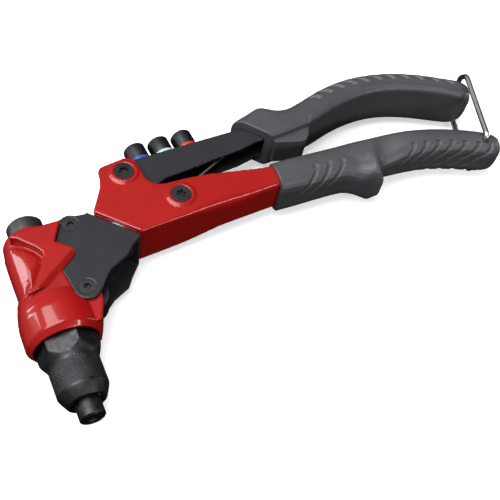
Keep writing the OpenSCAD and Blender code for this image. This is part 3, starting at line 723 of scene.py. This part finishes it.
def add_bail():
    """The wire bail: a bent-in end in each side of the lower grip, a loop over the upper grip's end."""
    _, high = box_mm("bail")
    side = high[2] - BAIL_RADIUS
    pivot = np.array(JOINT["bail_hinge"]["pos_m"][:2]) / MM
    far = high[:2] - BAIL_RADIUS
    knee = far - np.array([4.4, 7.3])
    # half of the wire: out of the grip, up along its side, then leaning in to the loop
    half = [(*pivot, 7.5), (*pivot, side - 2.3)]
    half += [(*(pivot + (knee - pivot) * 0.012), side - 0.7), (*(pivot + (knee - pivot) * 0.05), side)]
    half += [(*(pivot + (knee - pivot) * u), side) for u in (0.35, 0.7, 0.95)]
    half += [(*(knee + (far - knee) * u), side - (side - 5.5) * u) for u in (0.2, 0.5, 0.8)]
    half += [(*far, 4.6)]
    other = [(x, y, -z) for x, y, z in reversed(half)]
    stand_for(wire("bail_form", smooth_path(half + [(*far, 0)] + other, 0.7), BAIL_RADIUS, 24), "bail")


def add_opening_spring():
    """The opening spring's coil and the short leg that lies on the frame. The long leg stays as it is."""
    x, y, _ = np.array(JOINT["spring_leg_hinge"]["pos_m"]) / MM
    low, _ = box_mm("opening_spring")
    floor = low[2] + SPRING_RADIUS
    path = [(x + reach, y - COIL_RADIUS, floor) for reach in (29, 20, 10, 1.5)]
    for u in np.linspace(0, 1, 40 * COIL_TURNS + 1):
        turn = -math.pi / 2 - 2 * math.pi * COIL_TURNS * u
        path.append((x + COIL_RADIUS * math.cos(turn), y + COIL_RADIUS * math.sin(turn),
                     floor + COIL_PITCH * COIL_TURNS * u))
    stand_for(wire("opening_spring_form", np.array(path), SPRING_RADIUS, 20), "opening_spring")


BUILDERS = [add_casting, add_pressed_parts, add_lower_grip, add_upper_grip, add_sleeve, add_nosepieces,
            add_bail, add_opening_spring]
# Nodes that keep their CAD mesh, and the width of the bevel on their edges
CRISP = {"frame_bolts": 0.2, "bolt_sleeves": 0.2, "bracket_screws": 0.15, "bracket_sleeves": 0.2,
         "end_cap": 0.5, "nosepiece_holder": 0.3, "lower_spacer": 0.3, "pivot_washers": 0.2,
         "spring_spacer": 0.2, "roller_pin": 0.2, "cam_roller": 0.2, "plunger": 0.1, "rocker": 0.3,
         "pull_tube": 0.15, "jaw_case": 0.15, "spindle_nut": 0.4, "swivel_spindle": 0.2,
         "thrust_washer": 0.2, "jaw_pusher": 0.15}
for build in BUILDERS:
    build()
for node, width in CRISP.items():
    crisp(node, width)

# ---------------------------------------------------------------- camera, light and floor


def aim(obj, azimuth, elevation, roll, target, distance):
    """Puts the object at that distance from the target, in metres, and turns it to look at the target."""
    a, e, r = (math.radians(v) for v in (azimuth, elevation, roll))
    back = Vector((math.sin(a) * math.cos(e), -math.cos(a) * math.cos(e), math.sin(e)))
    right = Vector((math.cos(a), math.sin(a), 0))
    up = back.cross(right)
    across = right * math.cos(r) + up * math.sin(r)
    upward = up * math.cos(r) - right * math.sin(r)
    turn = Matrix((across, upward, back)).transposed().to_4x4()
    obj.matrix_world = Matrix.Translation(target + back * distance) @ turn


def add_camera():
    """The camera, with a lens in millimetres on a frame 36 mm wide."""
    data = bpy.data.cameras.new("camera")
    data.lens = 59.95
    data.sensor_width = 36
    data.clip_start = 0.01
    camera = bpy.data.objects.new("camera", data)
    bpy.context.scene.collection.objects.link(camera)
    target = Vector((0.097546, 0.056352, 0))
    aim(camera, azimuth=-36.157, elevation=54.639, roll=14.432, target=target, distance=0.405491)
    bpy.context.scene.camera = camera


def add_light(name, azimuth, elevation, distance, size, power):
    """A rectangular softbox, in metres and watts, aimed at the middle of the tool."""
    data = bpy.data.lights.new(name, "AREA")
    data.shape = "RECTANGLE"
    data.size, data.size_y = size
    data.energy = power
    light = bpy.data.objects.new(name, data)
    bpy.context.scene.collection.objects.link(light)
    aim(light, azimuth, elevation, 0, Vector((0.11, 0.08, 0)), distance)


def add_studio():
    """A sky bright overhead on the left and dark low in front, with a large key and three softboxes."""
    world = bpy.data.worlds.new("studio")
    bpy.context.scene.world = world
    world.use_nodes = True
    tree = world.node_tree
    coords = tree.nodes.new("ShaderNodeTexCoord")
    tilt = tree.nodes.new("ShaderNodeVectorMath")
    tilt.operation = "DOT_PRODUCT"
    tilt.inputs[1].default_value = Vector((-0.55, 0.2, 0.75)).normalized()
    tree.links.new(coords.outputs["Generated"], tilt.inputs[0])
    fade = tree.nodes.new("ShaderNodeMapRange")
    fade.inputs["From Min"].default_value = -0.12
    fade.inputs["From Max"].default_value = 1.0
    fade.inputs["To Min"].default_value = 0.02
    fade.inputs["To Max"].default_value = 0.5
    tree.links.new(tilt.outputs["Value"], fade.inputs["Value"])
    background = tree.nodes["Background"]
    background.inputs["Color"].default_value = (1, 1, 1, 1)
    tree.links.new(fade.outputs["Result"], background.inputs["Strength"])
    add_light("key", azimuth=-105, elevation=66, distance=1.4, size=(1.2, 1.2), power=31.0)
    add_light("front_strip", azimuth=23, elevation=28, distance=0.8, size=(0.5, 0.1), power=2.6)
    add_light("edge_strip", azimuth=86, elevation=4, distance=0.8, size=(0.1, 0.3), power=1.0)
    add_light("left_strip", azimuth=-118, elevation=12, distance=0.7, size=(0.1, 0.3), power=0.9)


def add_floor():
    """A pale floor just under the tool, bright enough to keep its shadow faint."""
    low, high = CAD_BOX
    middle = (Vector(low) + Vector(high)) / 2
    bpy.ops.mesh.primitive_plane_add(size=6, location=(middle.x, middle.y, low[2] - 0.0002))
    floor = bpy.context.object
    floor.name = "floor"
    s = Shader("pale_floor")
    s.set(Roughness=0.9, Emission_Color=(1, 1, 1, 1), Emission_Strength=0.5)
    s.link(s.ramp(s.noise(3, 2), (0.86, 0.86, 0.86), (0.9, 0.9, 0.9)), s.main.inputs["Base Color"])
    floor.data.materials.append(s.material)
    floor.visible_diffuse = False
    floor.visible_glossy = False


bpy.context.scene.view_settings.view_transform = "Standard"
add_camera()
add_studio()
add_floor()
